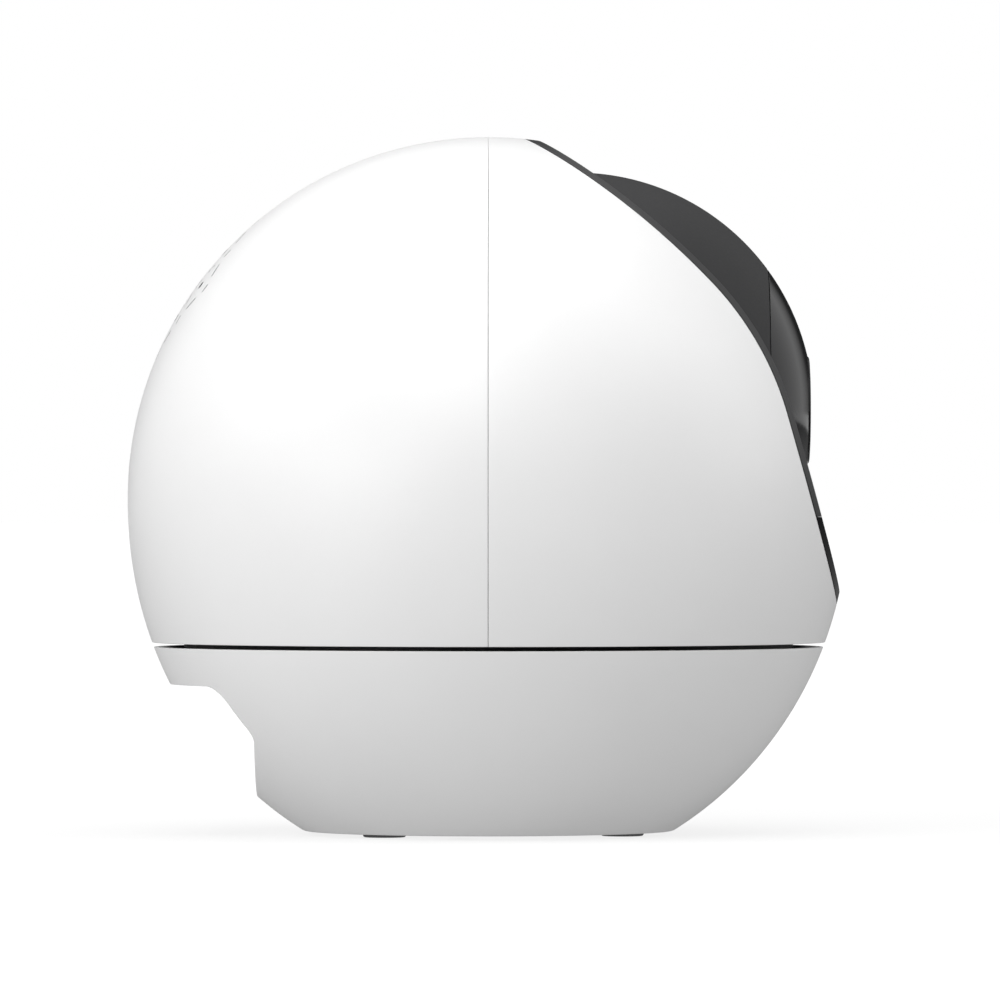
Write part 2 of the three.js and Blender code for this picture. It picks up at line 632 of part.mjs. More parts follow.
function addHeadInside() {

	// Speaker behind the grille, profile measured out from the body's centre.
	add( 'speaker', 'steel', towardsGrille( revolve( [
		[ 0, 36.5 ], [ 5, 36.5 ], [ 5, 40.5 ], [ 10, 42.8 ], [ 10, 45 ],
		[ 9.2, 45 ], [ 9.2, 43.4 ], [ 4, 41.6 ], [ 0, 41.6 ]
	] ) ) );
	add( 'speaker_cone', 'paper', towardsGrille( revolve( [
		[ 0, 42.1 ], [ 3, 42.1 ], [ 8.7, 44.3 ], [ 8.7, 44.8 ], [ 3, 42.8 ], [ 1.8, 43.3 ], [ 0, 43.5 ]
	] ) ) );

	// Main board on its pillars, with a shield can over the processor.
	const boardX = [ MAIN_BOARD_X, MAIN_BOARD_X + BOARD_T ];
	let board = box( boardX, [ - 22, 22 ], [ 28.5, 58 ] );
	const spots = [ 1, - 1 ].map( ( side ) => [ 0, side * MAIN_BOARD_PILLAR_Y, 46 ] );
	for ( const spot of spots ) board = cut( board, rod( 'x', spot, HOLE_R, [ - 30, - 20 ], 0, 8 ) );
	add( 'main_board', 'circuit_board', board );
	addScrews( 'main_board_screw', 'x', spots, boardX[ 1 ] + GAP, - 5 );
	add( 'shield_can', 'steel', box( [ boardX[ 1 ] + GAP, - 22.2 ], [ - 12, 12 ], [ 33, 52 ] ) );

}

// ---------------------------------------------------------------- tilt drive

const [ pinionX, pinionZ ] = onCircle( GEAR_CENTRES, PINION_ANGLE );
const TILT_PINION = [ BALL_X + pinionX, 0, BALL_Z + pinionZ ];
const TILT_AXIS = [ BALL_X, 0, BALL_Z ];

function bracket( outline, side ) {

	const [ near, far ] = BRACKET_Y;
	const span = ( a, b ) => side > 0 ? [ a, b ] : [ - b, - a ];
	const [ [ footBack, footZ ], [ footFront ] ] = outline;
	const foot = box( [ footBack, footFront ], span( 28, far ), [ footZ, footZ + 2 ] );
	return cut(
		join( plate( 'y', outline, span( near, far ) ), foot ),
		rod( 'y', TILT_AXIS, 4.5, span( near - 1, far + 1 ) )
	);

}

function addTiltDrive() {

	const footZ = TURNTABLE_Z[ 1 ] + GAP;
	const lobe = ( from, to ) => arc( 7, from, to, 8, [ BALL_X, BALL_Z ] );
	const ears = [ 1, - 1 ].map( ( side ) => [ TILT_PINION[ 0 ] + side * TILT_EAR_REACH, 0, TILT_PINION[ 2 ] ] );

	// The left bracket also carries the motor.
	let left = bracket( [
		[ - 14, footZ ], [ 17.5, footZ ], ...lobe( 0, 125 ), [ - 19.2, 47 ], [ - 19.2, 38 ], [ - 14, 31 ]
	], 1 );
	left = cut( left, rod( 'y', TILT_PINION, 3.2, [ 30, 40 ], 0, 16 ) );
	for ( const ear of ears ) left = cut( left, rod( 'y', ear, HOLE_R, [ 30, 40 ], 0, 8 ) );
	add( 'tilt_bracket_left', 'dark_plastic', left );
	const right = bracket( [ [ 3, footZ ], [ 17.5, footZ ], ...lobe( 0, 180 ) ], - 1 );
	add( 'tilt_bracket_right', 'dark_plastic', right );

	for ( const [ name, side ] of [ [ 'left', 1 ], [ 'right', - 1 ] ] ) {

		const profile = [
			[ 2.9, 32.6 ], [ 5.5, 32.6 ], [ 5.5, 33.3 ], [ 4.2, 33.3 ], [ 4.2, 36.1 ], [ 2.9, 36.1 ]
		];
		const sided = profile.map( ( [ r, y ] ) => [ r, side * y ] );
		add( `tilt_bush_${ name }`, 'natural_plastic', revolve( sided, { axis: 'y', centre: TILT_AXIS } ) );

	}

	let motor = join(
		rod( 'y', TILT_PINION, TILT_MOTOR_R, TILT_MOTOR_Y, 0, 24 ),
		box(
			[ ears[ 1 ][ 0 ] - 2.5, ears[ 0 ][ 0 ] + 2.5 ], [ TILT_MOTOR_Y[ 0 ], TILT_MOTOR_Y[ 0 ] + 0.9 ],
			[ TILT_PINION[ 2 ] - 3, TILT_PINION[ 2 ] + 3 ]
		)
	);
	for ( const ear of ears ) motor = cut( motor, rod( 'y', ear, HOLE_R, [ 30, 40 ], 0, 8 ) );
	add( 'tilt_motor', 'steel', motor );
	addScrews( 'tilt_motor_screw', 'y', ears, 37.6, - 3.6 );

	add( 'tilt_pinion', 'natural_plastic', join(
		gear( 'y', TILT_PINION, PINION_TEETH, SECTOR_Y ),
		rod( 'y', TILT_PINION, 2, [ SECTOR_Y[ 1 ] - 0.5, TILT_MOTOR_Y[ 0 ] - GAP ] )
	) );

	// Sector: the part of a full gear that meets the pinion over the tilt range, with a hub.
	const wedge = [ [ BALL_X, BALL_Z ], ...arc( 26, ...SECTOR_ANGLES, 8, [ BALL_X, BALL_Z ] ) ];
	add( 'tilt_gear', 'natural_plastic', cut(
		join(
			common( gear( 'y', TILT_AXIS, GEAR_TEETH, SECTOR_Y ), plate( 'y', wedge, [ 20, 40 ] ) ),
			rod( 'y', TILT_AXIS, 6, SECTOR_Y )
		),
		rod( 'y', TILT_AXIS, TRUNNION_R + GAP, [ 20, 40 ] )
	) );

}

// ---------------------------------------------------------------- eyeball

// The profile of a spherical wall between two planes across the lens axis.
function wallProfile( outerR, innerR, back, front, steps ) {

	const angle = ( x, r ) => THREE.MathUtils.radToDeg( Math.asin( Math.min( 1, x / r ) ) );
	const limit = ( r ) => ( front > r ? 90 : angle( front, r ) );
	return [
		...arc( outerR, angle( back, outerR ), limit( outerR ), steps ),
		...arc( innerR, limit( innerR ), angle( back, innerR ), steps )
	];

}

function addEyeball() {

	const about = { axis: 'x', centre: TILT_AXIS, segments: 28 };
	const inBall = ( x0, x1 ) => [ BALL_X + x0, BALL_X + x1 ];
	const lensAxis = [ BALL_X, 0, BALL_Z ];

	// Rear shell: open at the back, with flat sides that carry the hollow trunnions.
	let shell = revolve( wallProfile( BALL_R, BALL_R - BALL_WALL, BALL_BACK, BALL_SEAM - GAP / 2, 8 ), about );
	shell = common( shell, box( [ - 80, 80 ], [ - BALL_FLAT, BALL_FLAT ], [ 0, 120 ] ) );
	for ( const side of [ 1, - 1 ] ) {

		const span = ( a, b ) => side > 0 ? [ a, b ] : [ - b, - a ];
		shell = join( shell, rod( 'y', TILT_AXIS, 15.3, span( BALL_FLAT - BALL_WALL, BALL_FLAT ), 0, 28 ) );
		shell = join( shell, rod( 'y', TILT_AXIS, TRUNNION_R, span( BALL_FLAT - 1, TRUNNION_END ), 0, 16 ) );

	}

	add( 'ball_rear_shell', 'grey_plastic', cut( shell, rod( 'y', TILT_AXIS, 1.5, WIDE, 0, 12 ) ) );

	// Front cap: a dish with a recess for the infrared strip and a seat for the lens ring.
	let cap = join(
		revolve( wallProfile( BALL_R, CAP_INNER_R, BALL_SEAM + GAP / 2, BALL_R + 1, 4 ), about ),
		rod( 'x', lensAxis, 16.3, [ 24, 27.5 ], 15, 32 )
	);
	const strip = box( inBall( 20, 40 ), [ - STRIP_HALF_WIDTH - GAP, STRIP_HALF_WIDTH + GAP ], [ 30, 90 ] );
	cap = cut( cap, cut( strip, ball( BALL_R - STRIP_T - GAP ) ) );
	cap = cut( cap, rod( 'x', lensAxis, LENS_RING_R + GAP, [ 30.6, 40 ], 0, 28 ) );
	cap = cut( cap, rod( 'x', lensAxis, 5.4, [ 20, 40 ], 0, 20 ) );
	const ledHeight = 9.6;
	const ledSpots = [ 1, - 1 ].map( ( side ) => [ BALL_X, 0, BALL_Z + side * ledHeight ] );
	for ( const spot of ledSpots ) cap = cut( cap, rod( 'x', spot, 2.2, [ 24, 40 ], 0, 12 ) );
	add( 'ball_front_cap', 'cap_plastic', cap );

	// Infrared windows above and below the lens, flush with the cap.
	const windows = common(
		cut( ball( BALL_R ), ball( BALL_R - STRIP_T ), rod( 'x', lensAxis, LENS_RING_R + GAP, [ 20, 40 ], 0, 28 ) ),
		box( inBall( BALL_SEAM + GAP, 40 ), [ - STRIP_HALF_WIDTH, STRIP_HALF_WIDTH ], [ 30, 90 ] )
	);
	add( 'infrared_window_upper', 'black_gloss', common( windows, box( [ 0, 60 ], WIDE, [ BALL_Z, 120 ] ) ) );
	add( 'infrared_window_lower', 'black_gloss', common( windows, box( [ 0, 60 ], WIDE, [ 0, BALL_Z ] ) ) );

	// Lens: ring, barrel and front glass, all about the lens axis.
	add( 'lens_ring', 'black_gloss', revolve( [
		[ 4.7, 30.9 ], [ LENS_RING_R, 30.9 ], [ LENS_RING_R, LENS_FACE - 0.35 ], [ LENS_RING_R - 0.35, LENS_FACE ],
		[ 5.9, LENS_FACE ], [ 4.7, LENS_FACE - 0.6 ]
	], about ) );
	add( 'lens_barrel', 'dark_plastic', revolve( [
		[ 0, 12.3 ], [ 6, 12.3 ], [ 6, 18 ], [ 4.4, 18 ], [ 4.4, 30.2 ], [ 3.7, 30.2 ], [ 3.7, 29.2 ], [ 0, 29.2 ]
	], { ...about, segments: 20 } ) );
	add( 'lens_glass', 'glass', revolve( [
		[ 0, 29.5 ], [ 3.4, 29.5 ], [ 3.4, 30.3 ], [ 2.6, 30.9 ], [ 1.4, 31.3 ], [ 0, 31.4 ]
	], { ...about, segments: 20 } ) );

	// Boards behind the lens, and the two infrared lamps.
	add( 'sensor_board', 'circuit_board',
		box( inBall( 10.4, 12 ), [ - 13, 13 ], [ BALL_Z - 13, BALL_Z + 13 ] ) );
	add( 'infrared_board', 'circuit_board', cut(
		box( inBall( 24.2, 25.2 ), [ - 5.6, 5.6 ], [ BALL_Z - 13.2, BALL_Z + 13.2 ] ),
		rod( 'x', lensAxis, 4.8, [ 20, 30 ], 0, 24 )
	) );
	[ 'upper', 'lower' ].forEach( ( name, i ) => add( `infrared_lamp_${ name }`, 'clear_plastic', revolve( [
		[ 0, 25.5 ], [ 1.9, 25.5 ], [ 1.9, 26.7 ], [ 1.3, 27.4 ], [ 0, 27.7 ]
	], { axis: 'x', centre: ledSpots[ i ], segments: 12 } ) ) );

}

addBase();
addPanDrive();
addShells();
addHeadInside();
addTiltDrive();
addEyeball();

export default camera;
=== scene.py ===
"""Looks of the pan-tilt camera: smooth shells, eyeball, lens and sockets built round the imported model.

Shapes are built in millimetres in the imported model's own frame and turned into metres at the end.
"""

import json
import math

import bpy
import numpy as np
from mathutils import Matrix, Vector


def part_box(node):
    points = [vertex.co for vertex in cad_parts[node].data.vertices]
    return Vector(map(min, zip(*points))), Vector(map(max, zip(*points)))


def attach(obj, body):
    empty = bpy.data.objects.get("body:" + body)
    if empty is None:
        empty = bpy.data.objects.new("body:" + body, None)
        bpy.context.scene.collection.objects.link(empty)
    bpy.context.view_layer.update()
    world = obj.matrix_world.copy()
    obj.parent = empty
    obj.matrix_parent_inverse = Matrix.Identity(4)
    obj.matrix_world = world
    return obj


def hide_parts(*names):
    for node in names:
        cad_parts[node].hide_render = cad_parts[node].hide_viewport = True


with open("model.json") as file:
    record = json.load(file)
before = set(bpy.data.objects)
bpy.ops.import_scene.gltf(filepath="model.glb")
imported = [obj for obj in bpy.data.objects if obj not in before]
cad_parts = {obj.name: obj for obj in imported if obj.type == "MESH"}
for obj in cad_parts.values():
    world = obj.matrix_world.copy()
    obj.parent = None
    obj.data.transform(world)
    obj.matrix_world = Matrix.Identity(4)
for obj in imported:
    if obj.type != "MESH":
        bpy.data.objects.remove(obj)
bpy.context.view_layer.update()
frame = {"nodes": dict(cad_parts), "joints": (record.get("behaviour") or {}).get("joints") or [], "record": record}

MM = 0.001

# ------------------------------------------------------------------ sizes, in millimetres


def span(node):
    """Lowest and highest corner of a CAD node."""
    low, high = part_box(node)
    return np.array(low) / MM, np.array(high) / MM


def joint_place(name):
    """Where a joint's axis passes."""
    joint = next(j for j in frame["joints"] if j["name"] == name)
    return np.array(joint["pos_m"]) / MM


BASE_LOW, _ = span("base_bowl")
_, REAR_HIGH = span("rear_shell")
JACK_LOW, JACK_HIGH = span("network_jack")
POWER_LOW, POWER_HIGH = span("power_socket")
RESET_LOW, RESET_HIGH = span("reset_button")
_, STRIP_HIGH = span("infrared_window_upper")
_, RING_HIGH = span("lens_ring")
_, WINDOW_HIGH = span("face_window")

# Body: a sphere whose lower half swells slightly.
BODY_R = REAR_HIGH[1]
BODY_Z = REAR_HIGH[2] - BODY_R
SWELL = 0.0676
SWELL_POWER = 1.65
WALL = 2.2
UNDERSIDE_Z = BASE_LOW[2]
BASE_TOP_Z = 26.2
HEAD_EDGE_Z = BASE_TOP_Z + 0.6
EDGE_ROUNDING = 0.15  # outer edges at the seam between head and base
SPLIT = 0.03  # half the hairline between front and rear shell

# Face: a plate bent about the Y axis. Straight at the bottom, a tight bend, then a slack bend to the top.
FACE_ANGLES = (16.05, 43.8, 64.0)  # tilt of its normal where each bend starts, and at the top
FACE_BEND_R = 43.6
FACE_TOP_R = 124.2
FACE_BEND_CENTRE = np.array([-0.81, BODY_Z - 0.42])
FACE_PROUD = 0.8  # the bezel stands this far out of the shell
FACE_DEEP = 1.5  # the window's plug reaches this far in
FACE_GAP = 0.06
WINDOW_TOP_Z = WINDOW_HIGH[2] + 0.15
WINDOW_SPLIT = 0.02  # half the hairline between bezel and window
MICROPHONE_Y = 24.6
MICROPHONE_R = 0.45
MICROPHONE_BOTTOM_X = 41.9

# Eyeball.
BALL = joint_place("tilt")
BALL_R = 33.25
BALL_OPENING_R = 33.9
BALL_WALL = 1.8
BALL_SEAM = 26.8
BALL_BACK = -20.0
BALL_FLAT = 29.4
BALL_GAP = 0.05  # half the hairline between shell and cap
BALL_EDGE = 0.12
HUB_R = 15.3
PIN_R = 2.6
PIN_END = 36.6
PIN_BORE_R = 1.5
CAP_INNER_R = 30.25
CAP_BORE_R = 5.4
STRIP_GAP = 0.07
STRIP_DEEP = 1.5
WINDOW_THICKNESS = 1.2
LAMP_HOLE_R = 2.2
STRIP_HALF_WIDTH = STRIP_HIGH[1]
LENS_R = RING_HIGH[1]
LENS_FACE = RING_HIGH[0] - BALL[0]
LENS_SEAT = 30.9
LENS_BORE_R = 4.4
GLASS_R = 3.4
GLASS_BACK = 29.5
GLASS_FRONT = 31.5
GLASS_DOME_R = 6.0

# Base recess and openings.
RECESS_HALF_WIDTH = 24.3
RECESS_TOP_Z = 21.0
RECESS_BACK_X = -32.3
RECESS_CORNER = 2.5
RECESS_BACK_CORNER = 1.0
RECESS_WALL = 2.0
FLOOR_TOP_Z = 4.35
FLOOR_BOTTOM_Z = 2.55
COVER_HOLE_R = 24.9
SOCKET_GAP = 0.15
RESET_HOLE_R = 1.55

# Speaker grille, round an axis that points up and back.
GRILLE_ELEVATION = 36.5
GRILLE_R = 12.4
LATTICE_ACROSS = 8.2
LATTICE_UP = 11.46
HOLE_R = 0.6
SLIT_LENGTH = 2.5
SLIT_WIDTH = 0.35
SHORT_SLIT = 1.4
GRILLE_DEPTH = (44, 56)

# ------------------------------------------------------------------ mesh tools


def make_object(name, verts, faces):
    mesh = bpy.data.meshes.new(name)
    mesh.from_pydata([tuple(v) for v in verts], [], faces)
    mesh.validate()
    obj = bpy.data.objects.new(name, mesh)
    bpy.context.scene.collection.objects.link(obj)
    return obj


def turn(points, axis):
    """Points built about +Z, turned so that +Z becomes the named axis."""
    x, y, z = np.array(points, float).T
    return {"x": np.stack([z, x, y], 1), "y": np.stack([y, z, x], 1), "z": np.stack([x, y, z], 1)}[axis]


def revolve(profile, segments=96, axis="z", centre=(0, 0, 0)):
    """A closed solid of revolution from [radius, height] points, on the axis at both ends or closed."""
    rows, verts, faces = [], [], []
    for r, h in profile:
        if r < 1e-6:
            rows.append([len(verts)] * segments)
            verts.append((0, 0, h))
            continue
        rows.append(list(range(len(verts), len(verts) + segments)))
        angles = np.arange(segments) * 2 * math.pi / segments
        verts += [(r * math.cos(a), r * math.sin(a), h) for a in angles]
    pairs = list(zip(rows, rows[1:]))
    if profile[0][0] > 1e-6:
        pairs.append((rows[-1], rows[0]))
    for low, high in pairs:
        for i in range(segments):
            j = (i + 1) % segments
            face = [low[i], low[j], high[j], high[i]]
            face = [v for k, v in enumerate(face) if v != face[k - 1]]
            if len(face) > 2:
                faces.append(face)
    obj = make_object("turned", turn(verts, axis) + np.array(centre), faces)
    point_outwards(obj)
    return obj


def prism(outline, ends, axis="y"):
    """An outline in the plane across an axis, extruded. Across Y the outline is in X, Z."""
    count = len(outline)
    verts = []
    for end in ends:
        for u, v in outline:
            verts.append({"x": (end, u, v), "y": (u, end, v), "z": (u, v, end)}[axis])
    faces = [list(range(count)), list(range(2 * count - 1, count - 1, -1))]
    faces += [[i, i + count, (i + 1) % count + count, (i + 1) % count] for i in range(count)]
    obj = make_object("prism", verts, faces)
    point_outwards(obj)
    return obj


def block(low, high):
    (x0, y0, z0), (x1, y1, z1) = low, high
    return prism([(x0, z0), (x1, z0), (x1, z1), (x0, z1)], (y0, y1))


def rod(axis, centre, radius, ends, segments=48):
    """A cylinder along an axis, its ends counted from the centre."""
    return revolve([(0, ends[0]), (radius, ends[0]), (radius, ends[1]), (0, ends[1])], segments, axis, centre)


def point_outwards(obj):
    """Turns the faces over if they enclose a negative volume."""
    mesh = obj.data
    volume = 0.0
    for face in mesh.polygons:
        corners = [mesh.vertices[v].co for v in face.vertices]
        for a, b in zip(corners[1:], corners[2:]):
            volume += corners[0].dot(a.cross(b))
    if volume < 0:
        mesh.flip_normals()


def boolean(obj, others, operation):
    """Joins, cuts or intersects obj with the others, which are used up."""
    for other in others:
        modifier = obj.modifiers.new("cut", "BOOLEAN")
        modifier.operation = operation
        modifier.solver = "MANIFOLD"
        modifier.object = other
    depsgraph = bpy.context.evaluated_depsgraph_get()
    mesh = bpy.data.meshes.new_from_object(obj.evaluated_get(depsgraph))
    obj.modifiers.clear()
    obj.data = mesh
    for other in others:
        bpy.data.objects.remove(other)
    return obj


def cut(obj, *others):
    return boolean(obj, others, "DIFFERENCE")


def join(obj, *others):
    return boolean(obj, others, "UNION")


def common(obj, *others):
    return boolean(obj, others, "INTERSECT")


def arc(radius, start, end, steps, centre=(0, 0)):
    """Points along a circle, with angles in degrees."""
    angles = np.radians(np.linspace(start, end, steps + 1))
    return [(centre[0] + radius * math.cos(a), centre[1] + radius * math.sin(a)) for a in angles]


def fillet(points, index, radius, steps=4):
    """The outline with one corner rounded by a curve that starts `radius` before it."""
    corner = np.array(points[index])
    before = np.array(points[index - 1])
    after = np.array(points[(index + 1) % len(points)])
    start = corner + (before - corner) / np.linalg.norm(before - corner) * radius
    end = corner + (after - corner) / np.linalg.norm(after - corner) * radius
    curve = []
    for t in np.linspace(0, 1, steps + 1):
        curve.append(tuple((1 - t) ** 2 * start + 2 * t * (1 - t) * corner + t * t * end))
    return list(points[:index]) + curve + list(points[index + 1:])


def fillets(points, radii, steps=4):
    """Rounds several corners; radii maps an index of the given outline to its radius."""
    for index in sorted(radii, reverse=True):
        points = fillet(points, index, radii[index], steps)
    return points


# ------------------------------------------------------------------ surfaces with exact normals


def body_radius(sine):
    """The body's outer radius in the direction whose elevation has this sine."""
    below = np.maximum(0.0, -sine)
    return BODY_R * (1 + SWELL * below ** SWELL_POWER)


def body_surface(inset):
    """Distance from, and normal of, the body's outer surface moved in by inset."""
    centre = np.array([0, 0, BODY_Z])

    def distance(co):
        offset = co - centre
        length = np.linalg.norm(offset, axis=1)
        return length - (body_radius(offset[:, 2] / length) - inset)

    def normal(co):
        offset = co - centre
        length = np.linalg.norm(offset, axis=1)
        unit = offset / length[:, None]
        sine = unit[:, 2]
        cosine = np.sqrt(np.maximum(1e-9, 1 - sine ** 2))
        below = np.maximum(0.0, -sine)
        slope = -BODY_R * SWELL * SWELL_POWER * below ** (SWELL_POWER - 1) * cosine
        up = np.stack([-sine * unit[:, 0] / cosine, -sine * unit[:, 1] / cosine, cosine], 1)
        result = unit * (body_radius(sine) - inset)[:, None] - up * slope[:, None]
        return result / np.linalg.norm(result, axis=1)[:, None]

    return distance, normal


def ball_surface(radius):
    """Distance from, and normal of, a sphere about the tilt axis."""

    def distance(co):
        return np.linalg.norm(co - BALL, axis=1) - radius

    def normal(co):
        return (co - BALL) / np.linalg.norm(co - BALL, axis=1)[:, None]

    return distance, normal


def along(angle):
    """Unit direction in X, Z at an elevation in degrees."""
    return np.array([math.cos(math.radians(angle)), math.sin(math.radians(angle))])


FACE_TOP_CENTRE = FACE_BEND_CENTRE + (FACE_BEND_R - FACE_TOP_R) * along(FACE_ANGLES[1])


def face_surface(offset):
    """Distance from, and normal of, the face moved out by offset."""
    low, bend, _ = np.radians(FACE_ANGLES)

    def polar(co, centre):
        x, z = co[:, 0] - centre[0], co[:, 2] - centre[1]
        return np.arctan2(z, x), np.hypot(x, z)

    def normal(co):
        angle, _ = polar(co, FACE_BEND_CENTRE)
        slack, _ = polar(co, FACE_TOP_CENTRE)
        angle = np.where(angle > bend, slack, np.maximum(angle, low))
        return np.stack([np.cos(angle), 0 * angle, np.sin(angle)], 1)

    def distance(co):
        angle, tight = polar(co, FACE_BEND_CENTRE)
        straight = tight * np.cos(angle - low)
        slack = polar(co, FACE_TOP_CENTRE)[1] - FACE_TOP_R + FACE_BEND_R
        return np.where(angle > bend, slack, np.where(angle > low, tight, straight)) - FACE_BEND_R - offset

    return distance, normal


SURFACE_TOLERANCE = 0.03
SAME_FACING = 0.985  # least cosine between a face and the surface it lies on


def smooth(obj, surfaces=(), angle=30):
    """Smooth shading with creases, and exact normals on the faces that lie on a known surface."""
    mesh = obj.data
    mesh.shade_smooth()
    mesh.set_sharp_from_angle(angle=math.radians(angle))
    if not surfaces:
        return obj
    co = np.empty(len(mesh.vertices) * 3)
    mesh.vertices.foreach_get("co", co)
    co = co.reshape(-1, 3)
    corner_vert = np.empty(len(mesh.loops), int)
    mesh.loops.foreach_get("vertex_index", corner_vert)
    starts = np.empty(len(mesh.polygons), int)
    counts = np.empty(len(mesh.polygons), int)
    mesh.polygons.foreach_get("loop_start", starts)
    mesh.polygons.foreach_get("loop_total", counts)
    flat = np.empty(len(mesh.polygons) * 3)
    mesh.polygons.foreach_get("normal", flat)
    flat = np.repeat(flat.reshape(-1, 3), counts, axis=0)
    result = np.empty(len(mesh.loops) * 3)
    mesh.corner_normals.foreach_get("vector", result)
    result = result.reshape(-1, 3)
    for distance, normal in surfaces:
        corner_on = np.abs(distance(co))[corner_vert] < SURFACE_TOLERANCE
        exact = normal(co[corner_vert])
        facing = np.sum(exact * flat, axis=1)
        corner_on &= np.abs(facing) > SAME_FACING
        face_on = np.repeat(np.minimum.reduceat(corner_on.astype(int), starts), counts) > 0
        result[face_on] = (exact * np.sign(facing)[:, None])[face_on]
    mesh.normals_split_custom_set([tuple(n) for n in result])
    return obj


# ------------------------------------------------------------------ materials


def new_material(name):
    """A material with its node tree and Principled shader."""
    material = bpy.data.materials.new(name)
    material.use_nodes = True
    tree = material.node_tree
    shader = tree.nodes["Principled BSDF"]
    return material, tree, shader


def add_node(tree, kind, **values):
    """A node with its properties or input values set."""
    node = tree.nodes.new(kind)
    for key, value in values.items():
        if hasattr(node, key) and key not in node.inputs:
            setattr(node, key, value)
        else:
            node.inputs[key].default_value = value
    return node


def noise(tree, scale, detail=2.0, roughness=0.5):
    """Noise fixed to the piece."""
    coordinates = add_node(tree, "ShaderNodeTexCoord")
    node = add_node(tree, "ShaderNodeTexNoise", Scale=scale, Detail=detail, Roughness=roughness)
    tree.links.new(coordinates.outputs["Object"], node.inputs["Vector"])
    return node


def ramp(tree, source, low, high, start=0.35, end=0.65):
    """Turns a noise value into a colour between low and high."""
    node = add_node(tree, "ShaderNodeValToRGB")
    node.color_ramp.elements[0].position = start
    node.color_ramp.elements[1].position = end
    node.color_ramp.elements[0].color = (*low, 1)
    node.color_ramp.elements[1].color = (*high, 1)
    tree.links.new(source, node.inputs["Fac"])
    return node.outputs["Color"]


def vary(tree, source, low, high):
    """Maps a 0 to 1 value to a range."""
    node = add_node(tree, "ShaderNodeMapRange")
    node.inputs["To Min"].default_value = low
    node.inputs["To Max"].default_value = high
    tree.links.new(source, node.inputs["Value"])
    return node.outputs["Result"]


def moulded(name, colour, roughness, grain, grain_height, mottle=0.03, edge=0.12, **sockets):
    """Moulded plastic: fine grain in the surface, slight drift in tone and gloss, softened edges."""
    material, tree, shader = new_material(name)
    fine = noise(tree, grain, 3.0)
    broad = noise(tree, 60.0, 2.0)
    low = tuple(c * (1 - mottle) for c in colour)
    high = tuple(min(1, c * (1 + mottle)) for c in colour)
    tree.links.new(ramp(tree, broad.outputs["Fac"], low, high), shader.inputs["Base Color"])
    gloss = vary(tree, fine.outputs["Fac"], roughness - 0.05, roughness + 0.05)
    tree.links.new(gloss, shader.inputs["Roughness"])
    rounding = add_node(tree, "ShaderNodeBevel", samples=6, Radius=edge * MM)
    bump = add_node(tree, "ShaderNodeBump", Strength=1.0, Distance=grain_height * MM)
    tree.links.new(fine.outputs["Fac"], bump.inputs["Height"])
    tree.links.new(rounding.outputs["Normal"], bump.inputs["Normal"])
    tree.links.new(bump.outputs["Normal"], shader.inputs["Normal"])
    for key, value in sockets.items():
        shader.inputs[key.replace("_", " ")].default_value = value
    return material


def polished(name, colour, roughness, **sockets):
    """Polished plastic or glass: a trace of waviness and dust-fine variation in gloss."""
    material, tree, shader = new_material(name)
    broad = noise(tree, 45.0, 2.0)
    fine = noise(tree, 900.0, 2.0)
    low = tuple(c * 0.9 for c in colour)
    tree.links.new(ramp(tree, broad.outputs["Fac"], low, colour), shader.inputs["Base Color"])
    tree.links.new(vary(tree, fine.outputs["Fac"], roughness, roughness + 0.04), shader.inputs["Roughness"])
    bump = add_node(tree, "ShaderNodeBump", Strength=1.0, Distance=0.004 * MM)
    rounding = add_node(tree, "ShaderNodeBevel", samples=6, Radius=0.15 * MM)
    tree.links.new(broad.outputs["Fac"], bump.inputs["Height"])
    tree.links.new(rounding.outputs["Normal"], bump.inputs["Normal"])
    tree.links.new(bump.outputs["Normal"], shader.inputs["Normal"])
    for key, value in sockets.items():
        shader.inputs[key.replace("_", " ")].default_value = value
    return material


def metal(name, colour, roughness):
    """Plated or brushed metal with fine directional scratches."""
    material, tree, shader = new_material(name)
    coordinates = add_node(tree, "ShaderNodeTexCoord")
    stretch = add_node(tree, "ShaderNodeMapping")
    stretch.inputs["Scale"].default_value = (400, 400, 6000)
    grain = add_node(tree, "ShaderNodeTexNoise", Scale=1.0, Detail=3.0)
    tree.links.new(coordinates.outputs["Object"], stretch.inputs["Vector"])
    tree.links.new(stretch.outputs["Vector"], grain.inputs["Vector"])
    low = tuple(c * 0.85 for c in colour)
    tree.links.new(ramp(tree, grain.outputs["Fac"], low, colour), shader.inputs["Base Color"])
    gloss = vary(tree, grain.outputs["Fac"], roughness - 0.08, roughness + 0.08)
    tree.links.new(gloss, shader.inputs["Roughness"])
    shader.inputs["Metallic"].default_value = 1.0
    return material


def board(name):
    """Green solder mask over a grid of copper tracks."""
    material, tree, shader = new_material(name)
    coordinates = add_node(tree, "ShaderNodeTexCoord")
    tracks = add_node(tree, "ShaderNodeTexBrick", Scale=260.0)
    tracks.inputs["Color1"].default_value = (0.012, 0.10, 0.035, 1)
    tracks.inputs["Color2"].default_value = (0.010, 0.08, 0.030, 1)
    tracks.inputs["Mortar"].default_value = (0.03, 0.19, 0.07, 1)
    tracks.inputs["Mortar Size"].default_value = 0.03
    tree.links.new(coordinates.outputs["Object"], tracks.inputs["Vector"])
    tree.links.new(tracks.outputs["Color"], shader.inputs["Base Color"])
    weave = noise(tree, 2500.0)
    tree.links.new(vary(tree, weave.outputs["Fac"], 0.3, 0.5), shader.inputs["Roughness"])
    return material


